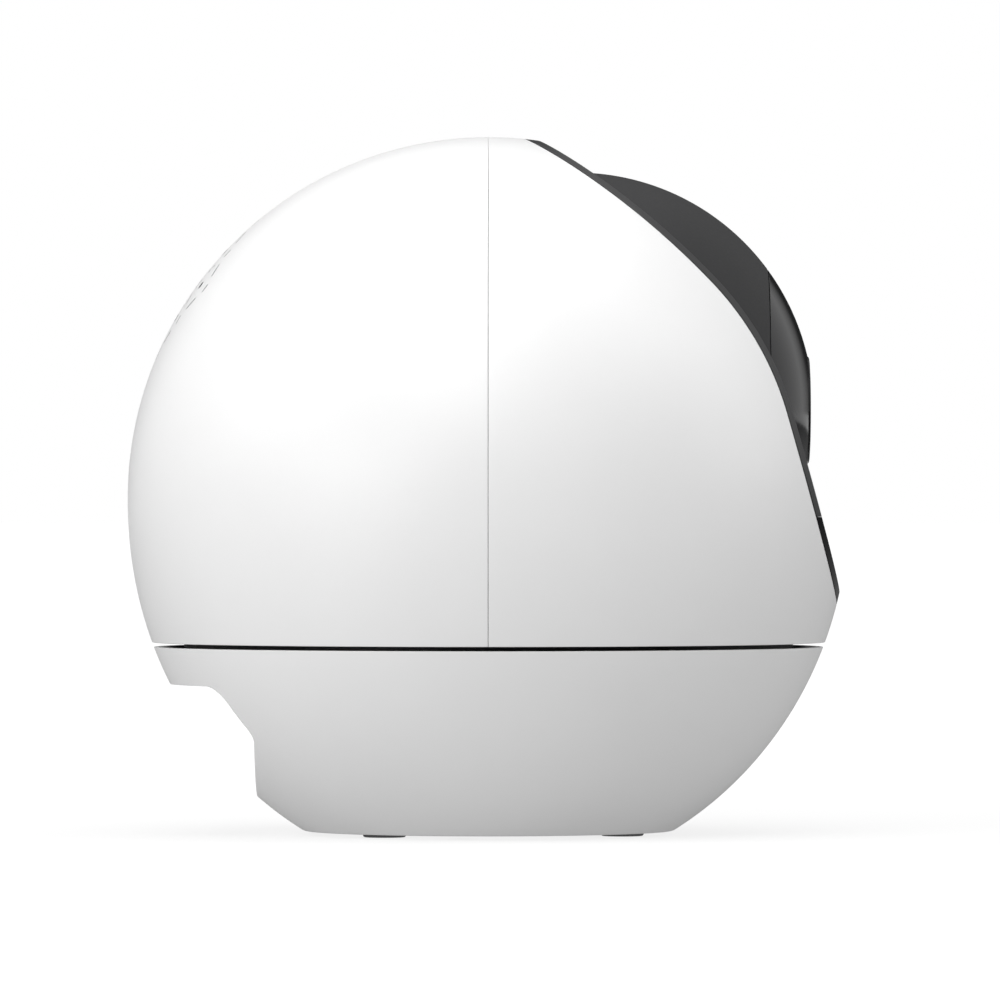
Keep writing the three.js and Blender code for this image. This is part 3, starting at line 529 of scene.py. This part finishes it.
MATERIALS = {
    "white_shell": moulded("white_abs", (0.80, 0.80, 0.80), 0.38, 3200, 0.006, 0.006, 0.15),
    "ball_grey": moulded(
        "ball_grey", (0.013, 0.013, 0.014), 0.55, 2600, 0.010, 0.06, 0.12, Specular_IOR_Level=0.35
    ),
    "bezel_grey": moulded("bezel_grey", (0.015, 0.015, 0.016), 0.36, 2600, 0.008, 0.05, 0.2),
    "cap_grey": moulded("cap_grey", (0.012, 0.012, 0.013), 0.10, 2600, 0.0006, 0.04, 0.12),
    "gloss_black": polished("gloss_black", (0.005, 0.005, 0.006), 0.06, Specular_IOR_Level=0.12),
    "dark_plastic": moulded("dark_plastic", (0.018, 0.018, 0.019), 0.5, 2200, 0.012, 0.08),
    "natural_plastic": moulded("natural_acetal", (0.74, 0.71, 0.62), 0.4, 1800, 0.006, 0.03),
    "rubber": moulded("rubber", (0.11, 0.11, 0.112), 0.85, 1500, 0.03, 0.15, 0.2),
    "steel": metal("plated_steel", (0.60, 0.61, 0.63), 0.3),
    "circuit_board": board("circuit_board"),
    "lens_glass": polished("coated_glass", (0.012, 0.010, 0.030), 0.02, Coat_Weight=1.0, IOR=1.7),
    "clear_plastic": polished("clear_plastic", (0.8, 0.82, 0.84), 0.1, Transmission_Weight=0.8),
    "speaker_paper": moulded("pressed_paper", (0.02, 0.02, 0.022), 0.9, 900, 0.05, 0.2),
}
# A dark grey copy of the white shell material: painted shade for the walls of the grille's holes.
GRILLE_PAINTED_SHADE = moulded("white_abs_painted_shade", (0.13, 0.13, 0.13), 0.6, 3200, 0.006, 0.02)


def place(obj, name, body, slot, replaced=(), surfaces=(), angle=30):
    """Finishes a piece: shading, metres, material, body, and the CAD nodes that it stands for."""
    obj.name = name
    obj.data.name = name
    smooth(obj, surfaces, angle)
    obj.data.transform(Matrix.Scale(MM, 4))
    obj.data.materials.clear()
    obj.data.materials.append(MATERIALS[slot])
    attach(obj, body)
    if replaced:
        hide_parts(*replaced)


# ------------------------------------------------------------------ body shells


def body_point(elevation, inset):
    angle = math.radians(elevation)
    r = float(body_radius(np.array(math.sin(angle)))) - inset
    return (0.0 if elevation == 90 else r * math.cos(angle), BODY_Z + r * math.sin(angle))


def elevation_at(z, inset):
    low, high = -89.0, 89.0
    for _ in range(50):
        middle = (low + high) / 2
        if body_point(middle, inset)[1] < z:
            low = middle
        else:
            high = middle
    return low


def body_side(inset, top, bottom, steps):
    """Points of the body's profile from height top, or the pole, down to height bottom."""
    start = 90.0 if top is None else elevation_at(top, inset)
    end = elevation_at(bottom, inset)
    return [body_point(e, inset) for e in np.linspace(start, end, steps + 1)]


def filled_body(inset, bottom, segments=192, steps=80):
    side = body_side(inset, None, bottom, steps)
    return revolve(side + [(0, bottom)], segments)


def face_curve(offset):
    """The face's section from above the body down to below it."""
    low, bend, high = FACE_ANGLES
    top = arc(FACE_TOP_R + offset, high, bend, 40, FACE_TOP_CENTRE)
    tight = arc(FACE_BEND_R + offset, bend, low, 60, FACE_BEND_CENTRE)
    end = FACE_BEND_CENTRE + (FACE_BEND_R + offset) * along(low) + 50 * along(low - 90)
    return top + tight[1:] + [tuple(end)]


def ahead_of_face(offset):
    return prism(face_curve(offset) + [(150, -20), (150, 150), (-20, 150)], (-60, 60))


def face_slab(inner, outer):
    return prism(face_curve(outer) + face_curve(inner)[::-1], (-60, 60))


def sphere(radius, segments=160):
    return revolve(arc(radius, -90, 90, segments // 2), segments, "x", BALL)


def dome():
    """The head's whole shell, with rounded edges at the seam."""
    outer = body_side(0, None, HEAD_EDGE_Z, 80)
    inner = body_side(WALL, None, HEAD_EDGE_Z, 40)
    profile = outer + inner[::-1]
    corner = len(outer) - 1
    profile = fillets(profile, {corner: EDGE_ROUNDING, corner + 1: 0.3})
    return revolve(profile, 192)


def towards_grille(obj):
    """Turns a piece built about +Z at the origin so that it points out through the rear grille."""
    turned = Matrix.Translation((0, 0, BODY_Z)) @ Matrix.Rotation(math.radians(GRILLE_ELEVATION - 90), 4, "Y")
    obj.data.transform(turned)
    return obj


def slit(centre, angle, length):
    """A slot with round ends, standing across the shell."""
    half, r = length / 2 - SLIT_WIDTH / 2, SLIT_WIDTH / 2
    outline = arc(r, -90, 90, 6, (half, 0)) + arc(r, 90, 270, 6, (-half, 0))
    c, s = math.cos(angle), math.sin(angle)
    outline = [(centre[0] + u * c - v * s, centre[1] + u * s + v * c) for u, v in outline]
    return prism(outline, GRILLE_DEPTH, "z")


def grille_cutters():
    """Round holes on a centred lattice, a rhombus of slits round each, and short slits between."""
    cutters = []
    half = np.array([LATTICE_UP / 2, LATTICE_ACROSS / 2])
    for row in range(-3, 4):
        for column in range(-4, 5):
            spot = np.array([row, column]) * half
            if np.linalg.norm(spot) > GRILLE_R:
                continue
            if (row + column) % 2 == 0:
                cutters.append(rod("z", (*spot, 0), HOLE_R, GRILLE_DEPTH, 24))
                for side in (-1, 1):
                    for end in (1, -1):
                        middle = spot + half * (0.5 * end, 0.5 * side)
                        lean = math.atan2(half[1] * -side * end, half[0])
                        if np.linalg.norm(middle) < GRILLE_R:
                            cutters.append(slit(middle, lean, SLIT_LENGTH))
            else:
                cutters.append(slit(spot, 0, SHORT_SLIT))
    return [towards_grille(c) for c in cutters]


def merged(objects, name="merged"):
    """Several separate solids as one object."""
    verts, faces = [], []
    for obj in objects:
        start = len(verts)
        verts += [tuple(v.co) for v in obj.data.vertices]
        faces += [[start + v for v in f.vertices] for f in obj.data.polygons]
        bpy.data.objects.remove(obj)
    return make_object(name, verts, faces)


def head_lugs(front):
    """Screw lugs inside a shell, which reach over the turntable's skirt."""
    parts = []
    for angle in (45, -45) if front else (135, -135):
        arm = block((36, -3.2, 29.8), (46.8, 3.2, 33.5))
        arm.data.transform(Matrix.Rotation(math.radians(angle), 4, "Z"))
        a = math.radians(angle)
        boss = rod("z", (37 * math.cos(a), 37 * math.sin(a), 0), 3.2, (25.9, 33.5), 32)
        hole = rod("z", (37 * math.cos(a), 37 * math.sin(a), 0), 1.2, (20, 31), 24)
        parts.append(cut(join(arm, boss), hole))
    return parts


def paint_grille_shade(obj):
    """The walls of the grille's holes get a dark grey copy of the shell's material: painted shade inside the
    holes.
    """
    obj.data.materials.append(GRILLE_PAINTED_SHADE)
    out = Vector((-math.cos(math.radians(GRILLE_ELEVATION)), 0, math.sin(math.radians(GRILLE_ELEVATION))))
    middle = Vector((0, 0, BODY_Z * MM))
    for face in obj.data.polygons:
        spoke = face.center - middle
        near_axis = (spoke - spoke.dot(out) * out).length < (GRILLE_R + 2) * MM and spoke.dot(out) > 0
        # Walls that stand across the shell near the grille's axis get the painted shade.
        if near_axis and abs(face.normal.dot(spoke.normalized())) < 0.5:
            face.material_index = 1


def build_shells():
    body = (body_surface(0), body_surface(WALL))
    rear = common(dome(), block((-80, -70, 0), (-SPLIT, 70, 120)))
    rear = join(rear, *head_lugs(False))
    rear = cut(rear, merged(grille_cutters()))
    place(rear, "rear_shell_fine", "head", "white_shell", ["rear_shell"], body)
    paint_grille_shade(rear)
    front = common(dome(), block((SPLIT, -70, 0), (80, 70, 120)))
    front = cut(front, ahead_of_face(-FACE_GAP), sphere(BALL_OPENING_R))
    front = join(front, *head_lugs(True))
    place(front, "front_shell_fine", "head", "white_shell", ["front_shell"], body)


def build_face():
    surfaces = (face_surface(FACE_PROUD), face_surface(0), face_surface(-FACE_DEEP), body_surface(0))
    upper = common(filled_body(0, HEAD_EDGE_Z), face_slab(0, FACE_PROUD))
    upper = cut(upper, sphere(BALL_OPENING_R))
    for side in (-1, 1):
        hole = rod("x", (0, side * MICROPHONE_Y, BALL[2]), MICROPHONE_R, (MICROPHONE_BOTTOM_X, 60), 24)
        upper = cut(upper, hole)
    upper = common(upper, block((-80, -70, WINDOW_TOP_Z + WINDOW_SPLIT), (80, 70, 120)))
    place(upper, "face_bezel_fine", "head", "bezel_grey", ["face_bezel"], surfaces)
    lower = common(filled_body(0, HEAD_EDGE_Z), face_slab(0, FACE_PROUD))
    plug = common(filled_body(WALL + 0.3, HEAD_EDGE_Z), face_slab(-FACE_DEEP, 0.1))
    lower = common(join(lower, plug), block((-80, -70, 0), (80, 70, WINDOW_TOP_Z - WINDOW_SPLIT)))
    place(lower, "face_window_fine", "head", "gloss_black", ["face_window"], surfaces)


# ------------------------------------------------------------------ base


def recess(grow):
    """The space of the cable recess, or with grow the outside of the wall round it."""
    w, top, r = RECESS_HALF_WIDTH + grow, RECESS_TOP_Z + grow, RECESS_CORNER + grow
    back, c = RECESS_BACK_X + grow, RECESS_BACK_CORNER + grow
    section = [(-w, -10), (w, -10)]
    section += arc(r, 0, 90, 12, (w - r, top - r)) + arc(r, 90, 180, 12, (r - w, top - r))
    plan = [(-70, -w), (back - c, -w)]
    plan += arc(c, -90, 0, 10, (back - c, c - w)) + arc(c, 0, 90, 10, (back - c, w - c))
    plan += [(back - c, w), (-70, w)]
    return common(prism(section, (-70, back), "x"), prism(plan, (-20, 60), "z"))


def socket_hole(low, high, wall):
    """An opening through the recess wall with a small gap round a socket."""
    bottom = (wall[0], low[1] - SOCKET_GAP, low[2] - SOCKET_GAP)
    return block(bottom, (wall[1], high[1] + SOCKET_GAP, high[2] + SOCKET_GAP))


def build_base():
    outer = body_side(0, BASE_TOP_Z, UNDERSIDE_Z, 48)
    profile = [(0, BASE_TOP_Z)] + outer + [(0, UNDERSIDE_Z)]
    profile = fillets(profile, {1: EDGE_ROUNDING, len(outer): 0.4})
    bowl = revolve(profile, 192)
    inside = body_side(WALL, BASE_TOP_Z + 1, FLOOR_TOP_Z, 24)
    cavity = revolve([(0, BASE_TOP_Z + 1)] + inside + [(0, FLOOR_TOP_Z)], 192)
    cavity = cut(cavity, recess(RECESS_WALL))
    bowl = cut(bowl, cavity, recess(0), rod("z", (0, 0, 0), COVER_HOLE_R, (-1, FLOOR_BOTTOM_Z), 128))
    wall = (RECESS_BACK_X - 1, RECESS_BACK_X + RECESS_WALL + 0.2)
    reset_middle = (0, (RESET_LOW[1] + RESET_HIGH[1]) / 2, (RESET_LOW[2] + RESET_HIGH[2]) / 2)
    bowl = cut(
        bowl,
        socket_hole(JACK_LOW, JACK_HIGH, wall),
        socket_hole(POWER_LOW, POWER_HIGH, wall),
        rod("x", reset_middle, RESET_HOLE_R, wall, 48),
    )
    place(bowl, "base_bowl_fine", "base", "white_shell", ["base_bowl"], (body_surface(0), body_surface(WALL)))
    for i in range(1, 5):
        low, high = span(f"rubber_foot_{i}")
        r = (high[0] - low[0]) / 2
        profile = [(0, low[2]), (r, low[2]), (r, high[2]), (0, high[2])]
        middle = ((low[0] + high[0]) / 2, (low[1] + high[1]) / 2, 0)
        foot = revolve(fillets(profile, {1: 0.4, 2: 0.2}), 64, "z", middle)
        place(foot, f"rubber_foot_fine_{i}", "base", "rubber", [f"rubber_foot_{i}"])


# ------------------------------------------------------------------ eyeball


def wall_profile(outer_r, inner_r, back, front, steps):
    """Section of a spherical wall between two planes, and how many points its outside has."""

    def angle(x, r):
        return 90.0 if x > r else math.degrees(math.asin(x / r))

    outside = arc(outer_r, angle(back, outer_r), angle(front, outer_r), steps)
    inside = arc(inner_r, angle(front, inner_r), angle(back, inner_r), steps)
    clean = [(0.0 if abs(r) < 1e-6 else r, h) for r, h in outside + inside]
    return clean, len(outside)


def build_ball_shell(surfaces):
    axle = (BALL[0], 0, BALL[2])
    profile, corner = wall_profile(BALL_R, BALL_R - BALL_WALL, BALL_BACK, BALL_SEAM - BALL_GAP, 72)
    shell = revolve(fillets(profile, {corner - 1: BALL_EDGE}), 160, "x", BALL)
    shell = common(shell, block((-80, -BALL_FLAT, 0), (80, BALL_FLAT, 120)))
    for side in (-1, 1):
        hub = sorted((side * (BALL_FLAT - BALL_WALL), side * BALL_FLAT))
        pin = sorted((side * (BALL_FLAT - 1), side * PIN_END))
        shell = join(shell, rod("y", axle, HUB_R, hub, 96), rod("y", axle, PIN_R, pin))
    shell = cut(shell, rod("y", axle, PIN_BORE_R, (-60, 60)))
    place(shell, "ball_rear_shell_fine", "eyeball", "ball_grey", ["ball_rear_shell"], surfaces)


def build_cap(surfaces):
    """The ball's front cap, with a channel for the infrared windows and holes for lens and lamps."""
    profile, _ = wall_profile(BALL_R, CAP_INNER_R, BALL_SEAM + BALL_GAP, BALL_R + 1, 32)
    cap = revolve(fillets(profile, {0: BALL_EDGE}), 160, "x", BALL)
    width = STRIP_HALF_WIDTH + STRIP_GAP
    channel = block((BALL[0] + 20, -width, BALL[2] - 40), (BALL[0] + 40, width, BALL[2] + 40))
    channel = cut(channel, sphere(BALL_R - STRIP_DEEP))
    lens_seat = rod("x", BALL, LENS_R + STRIP_GAP, (30.6, 40), 96)
    cap = cut(cap, channel, lens_seat, rod("x", BALL, CAP_BORE_R, (20, 40), 64))
    lamp_holes = []
    for node in ("infrared_lamp_upper", "infrared_lamp_lower"):
        low, high = span(node)
        lamp_holes.append(rod("x", (BALL[0], 0, (low[2] + high[2]) / 2), LAMP_HOLE_R, (24, 40)))
    cap = cut(cap, *lamp_holes)
    place(cap, "ball_front_cap_fine", "eyeball", "cap_grey", ["ball_front_cap"], surfaces)


def build_infrared_windows():
    inner_r = BALL_R - WINDOW_THICKNESS
    for name, side in (("upper", 1), ("lower", -1)):
        window = cut(sphere(BALL_R), sphere(inner_r), rod("x", BALL, LENS_R + STRIP_GAP, (20, 40), 96))
        bottom, top = sorted((BALL[2], BALL[2] + side * 40))
        low = (BALL[0] + BALL_SEAM + BALL_GAP, -STRIP_HALF_WIDTH, bottom)
        window = common(window, block(low, (BALL[0] + 40, STRIP_HALF_WIDTH, top)))
        place(window, f"infrared_window_{name}_fine", "eyeball", "gloss_black", [f"infrared_window_{name}"],
              (ball_surface(BALL_R), ball_surface(inner_r)))


def build_lens():
    profile = [
        (LENS_BORE_R, LENS_SEAT),
        (LENS_R, LENS_SEAT),
        (LENS_R, LENS_FACE - 0.12),
        (5.6, LENS_FACE),
        (LENS_BORE_R, LENS_FACE - 0.9),
    ]
    ring = revolve(fillets(profile, {2: 0.55, 3: 0.25}, 6), 128, "x", BALL)
    place(ring, "lens_ring_fine", "eyeball", "gloss_black", ["lens_ring"], angle=40)
    rim = math.degrees(math.asin(GLASS_R / GLASS_DOME_R))
    curve = [(r, GLASS_FRONT - GLASS_DOME_R + h) for r, h in arc(GLASS_DOME_R, 90 - rim, 90, 12)]
    curve[-1] = (0.0, curve[-1][1])
    glass = revolve([(0, GLASS_BACK), (GLASS_R, GLASS_BACK)] + curve, 96, "x", BALL)
    place(glass, "lens_glass_fine", "eyeball", "lens_glass", ["lens_glass"], angle=40)


def build_eyeball():
    surfaces = (ball_surface(BALL_R), ball_surface(BALL_R - BALL_WALL), ball_surface(CAP_INNER_R))
    build_ball_shell(surfaces)
    build_cap(surfaces)
    build_infrared_windows()
    build_lens()


# ------------------------------------------------------------------ camera, light and floor


CAMERA_DISTANCE = 1440 * MM
FRAME_WIDTH = 140 * MM  # width of the view at the object


def build_camera():
    """A view level with the body's middle, square to the side, from far away."""
    data = bpy.data.cameras.new("camera")
    data.sensor_width = 36
    data.lens = data.sensor_width * CAMERA_DISTANCE / FRAME_WIDTH
    data.clip_end = 20
    data.dof.use_dof = False
    camera = bpy.data.objects.new("camera", data)
    camera.location = (1.6 * MM, -CAMERA_DISTANCE, (BODY_Z - 0.28) * MM)
    camera.rotation_euler = (math.pi / 2, 0, 0)
    bpy.context.scene.collection.objects.link(camera)
    bpy.context.scene.camera = camera


# Softboxes round the object: name, azimuth from the camera and elevation in degrees, width and height
# in metres, watts.
SOFTBOXES = [
    ("key", -11, 44, 0.80, 0.90, 6.3),
    ("overhead", 0, 89, 1.00, 1.00, 5.7),
    ("left", -75, 30, 0.80, 0.80, 3.5),
    ("right", 90, 20, 0.60, 0.80, 2.1),
    ("right_front", 60, 50, 0.60, 0.60, 0.9),
    ("right_high", 80, 55, 0.60, 0.60, 1.1),
    ("low_left", -40, 8, 0.80, 0.30, 2.9),
]
SOFTBOX_DISTANCE = 1.1


def build_softboxes():
    middle = Vector((0, 0, BODY_Z * MM))
    for name, azimuth, elevation, width, height, power in SOFTBOXES:
        a, e = math.radians(azimuth), math.radians(elevation)
        away = Vector((math.sin(a) * math.cos(e), -math.cos(a) * math.cos(e), math.sin(e)))
        data = bpy.data.lights.new(name, "AREA")
        data.shape = "RECTANGLE"
        data.size, data.size_y = width, height
        data.energy = power
        light = bpy.data.objects.new(name, data)
        light.location = middle + away * SOFTBOX_DISTANCE
        light.rotation_euler = (-away).to_track_quat("-Z", "Y").to_euler()
        bpy.context.scene.collection.objects.link(light)


def build_backdrop():
    """A white surround, which lights the object softly from behind and hardly at all from in front."""
    world = bpy.data.worlds.new("studio")
    world.use_nodes = True
    tree = world.node_tree
    seen = tree.nodes["Background"]
    seen.inputs["Color"].default_value = (1, 1, 1, 1)
    seen.inputs["Strength"].default_value = 1.0
    coordinates = add_node(tree, "ShaderNodeTexCoord")
    parts = add_node(tree, "ShaderNodeSeparateXYZ")
    tree.links.new(coordinates.outputs["Generated"], parts.inputs["Vector"])
    depth = add_node(tree, "ShaderNodeMapRange")
    depth.inputs["From Min"].default_value = -1.0
    tree.links.new(parts.outputs["Y"], depth.inputs["Value"])
    fade = add_node(tree, "ShaderNodeValToRGB")
    stops = fade.color_ramp.elements
    for position, level in ((0.35, 0.06), (0.70, 0.58), (0.90, 0.58), (0.965, 0.03)):
        stop = stops.new(position)
        stop.color = (level, level, level, 1)
    stops.remove(stops[-1])
    stops.remove(stops[0])
    tree.links.new(depth.outputs["Result"], fade.inputs["Fac"])
    fill = add_node(tree, "ShaderNodeBackground", Color=(1, 1, 1, 1))
    tree.links.new(fade.outputs["Color"], fill.inputs["Strength"])
    path = add_node(tree, "ShaderNodeLightPath")
    mix = add_node(tree, "ShaderNodeMixShader")
    tree.links.new(path.outputs["Is Camera Ray"], mix.inputs["Fac"])
    tree.links.new(fill.outputs["Background"], mix.inputs[1])
    tree.links.new(seen.outputs["Background"], mix.inputs[2])
    tree.links.new(mix.outputs["Shader"], tree.nodes["World Output"].inputs["Surface"])
    bpy.context.scene.world = world


FLOOR_HALF = 40.0
FLOOR_Z = -0.05 * MM  # just clear of the feet


def build_floor():
    """A pale table that glows from below: white to the eye, a soft bounce to the object's underside."""
    signs = ((-1, -1), (1, -1), (1, 1), (-1, 1))
    corners = [(x * FLOOR_HALF, y * FLOOR_HALF, FLOOR_Z) for x, y in signs]
    floor = make_object("floor", corners, [[0, 1, 2, 3]])
    material, tree, shader = new_material("pale_floor")
    tree.nodes.remove(shader)
    cloud = noise(tree, 3.0)
    matt = add_node(tree, "ShaderNodeBsdfDiffuse")
    paint = ramp(tree, cloud.outputs["Fac"], (0.19, 0.19, 0.19), (0.21, 0.21, 0.21))
    tree.links.new(paint, matt.inputs["Color"])
    away = add_node(tree, "ShaderNodeTexCoord")
    length = add_node(tree, "ShaderNodeVectorMath", operation="LENGTH")
    tree.links.new(away.outputs["Object"], length.inputs[0])
    fade = add_node(tree, "ShaderNodeMapRange")
    for key, value in (("From Min", 0.12), ("From Max", 0.5), ("To Min", 0.78), ("To Max", 1.0)):
        fade.inputs[key].default_value = value
    tree.links.new(length.outputs["Value"], fade.inputs["Value"])
    seen = add_node(tree, "ShaderNodeEmission")
    tree.links.new(fade.outputs["Result"], seen.inputs["Strength"])
    bounce = add_node(tree, "ShaderNodeEmission", Strength=0.47)
    far = add_node(tree, "ShaderNodeMapRange")
    for key, value in (("From Min", 1.85), ("From Max", 2.0), ("To Max", 0.6)):
        far.inputs[key].default_value = value
    tree.links.new(length.outputs["Value"], far.inputs["Value"])
    dark = add_node(tree, "ShaderNodeEmission")
    tree.links.new(far.outputs["Result"], dark.inputs["Strength"])
    path = add_node(tree, "ShaderNodeLightPath")
    unseen = add_node(tree, "ShaderNodeMixShader")
    mix = add_node(tree, "ShaderNodeMixShader")
    both = add_node(tree, "ShaderNodeAddShader")
    tree.links.new(path.outputs["Is Diffuse Ray"], unseen.inputs["Fac"])
    tree.links.new(dark.outputs["Emission"], unseen.inputs[1])
    tree.links.new(bounce.outputs["Emission"], unseen.inputs[2])
    tree.links.new(path.outputs["Is Camera Ray"], mix.inputs["Fac"])
    tree.links.new(unseen.outputs["Shader"], mix.inputs[1])
    tree.links.new(seen.outputs["Emission"], mix.inputs[2])
    tree.links.new(mix.outputs["Shader"], both.inputs[0])
    tree.links.new(matt.outputs["BSDF"], both.inputs[1])
    tree.links.new(both.outputs["Shader"], tree.nodes["Material Output"].inputs["Surface"])
    floor.data.materials.append(material)


def build_studio():
    bpy.context.scene.view_settings.view_transform = "Standard"
    build_softboxes()
    build_backdrop()
    build_floor()


def dress_cad_nodes():
    """Every CAD node that stays gets its slot's material."""
    for part in frame["record"]["subparts"]:
        obj = frame["nodes"][part["node"]]
        material = MATERIALS[part["material_slot"]]
        obj.data.materials.clear()
        obj.data.materials.append(material)


build_camera()
dress_cad_nodes()
build_shells()
build_face()
build_base()
build_eyeball()
build_studio()
